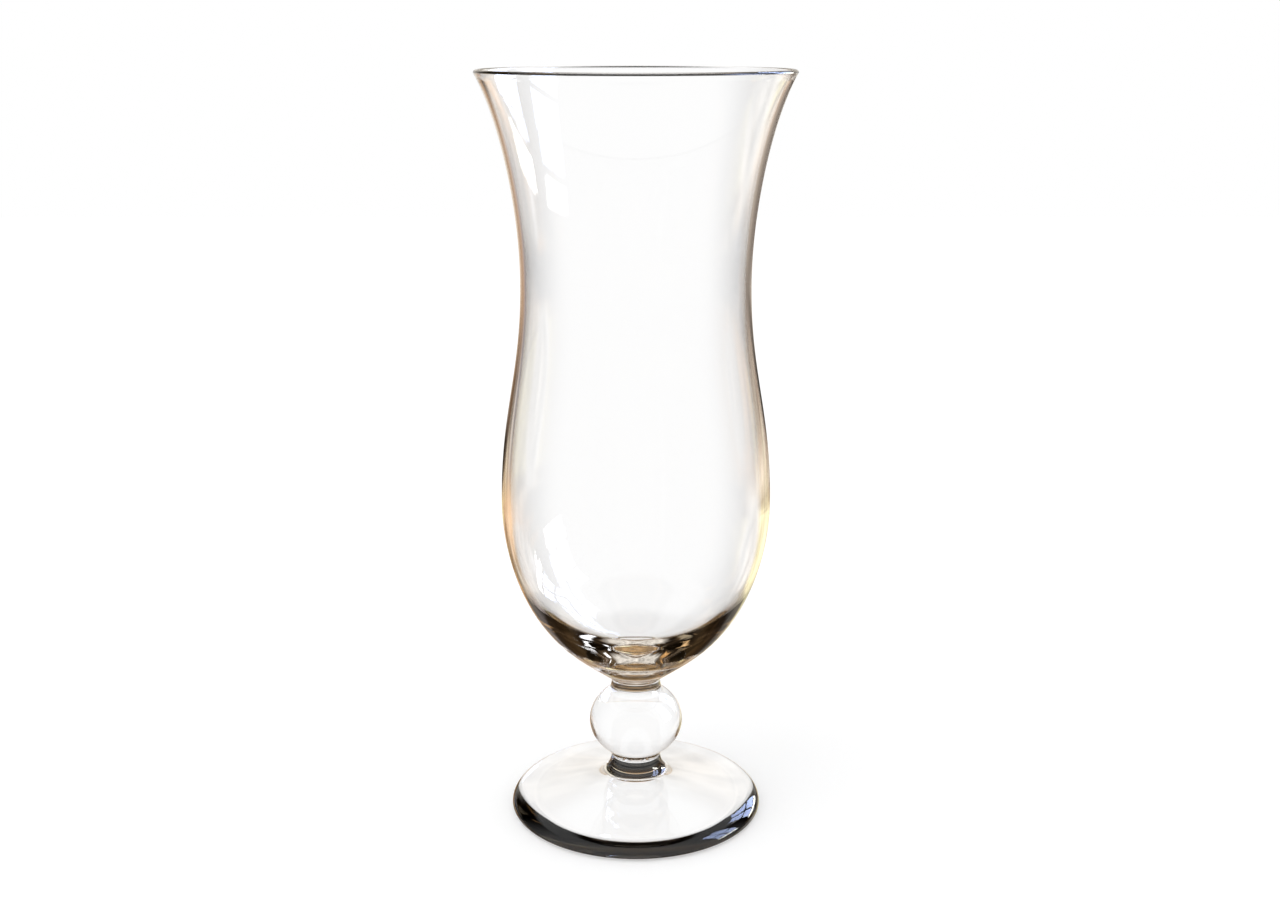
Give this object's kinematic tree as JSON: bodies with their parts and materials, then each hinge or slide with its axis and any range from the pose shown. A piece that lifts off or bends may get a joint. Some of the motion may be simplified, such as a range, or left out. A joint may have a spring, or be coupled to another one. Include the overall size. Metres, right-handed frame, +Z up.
{
  "type": "tulip beer glass",
  "caption": "Clear footed beer glass: flared, waisted bowl with a heavy base on a short collared stem with a ball knop and a coned round foot.",
  "frame": {"origin": "centre of the flat ring that the foot rests on", "axes": "+Z up along the glass's axis, from the foot to the rim; the glass is round, so X and Y are free"},
  "size_m": [0.0834, 0.0834, 0.2059],
  "materials": {
    "blown_glass": "clear, fire-polished, very smooth",
    "stem_glass": "clear, solid, fire-polished",
    "pressed_glass": "clear, pressed and fire-polished, faint waviness"
  },
  "bodies": {
    "root": {"bowl": "blown_glass", "upper_collar": "stem_glass", "ball_knop": "stem_glass", "lower_collar": "stem_glass", "foot": "pressed_glass"}
  },
  "joints": []
}
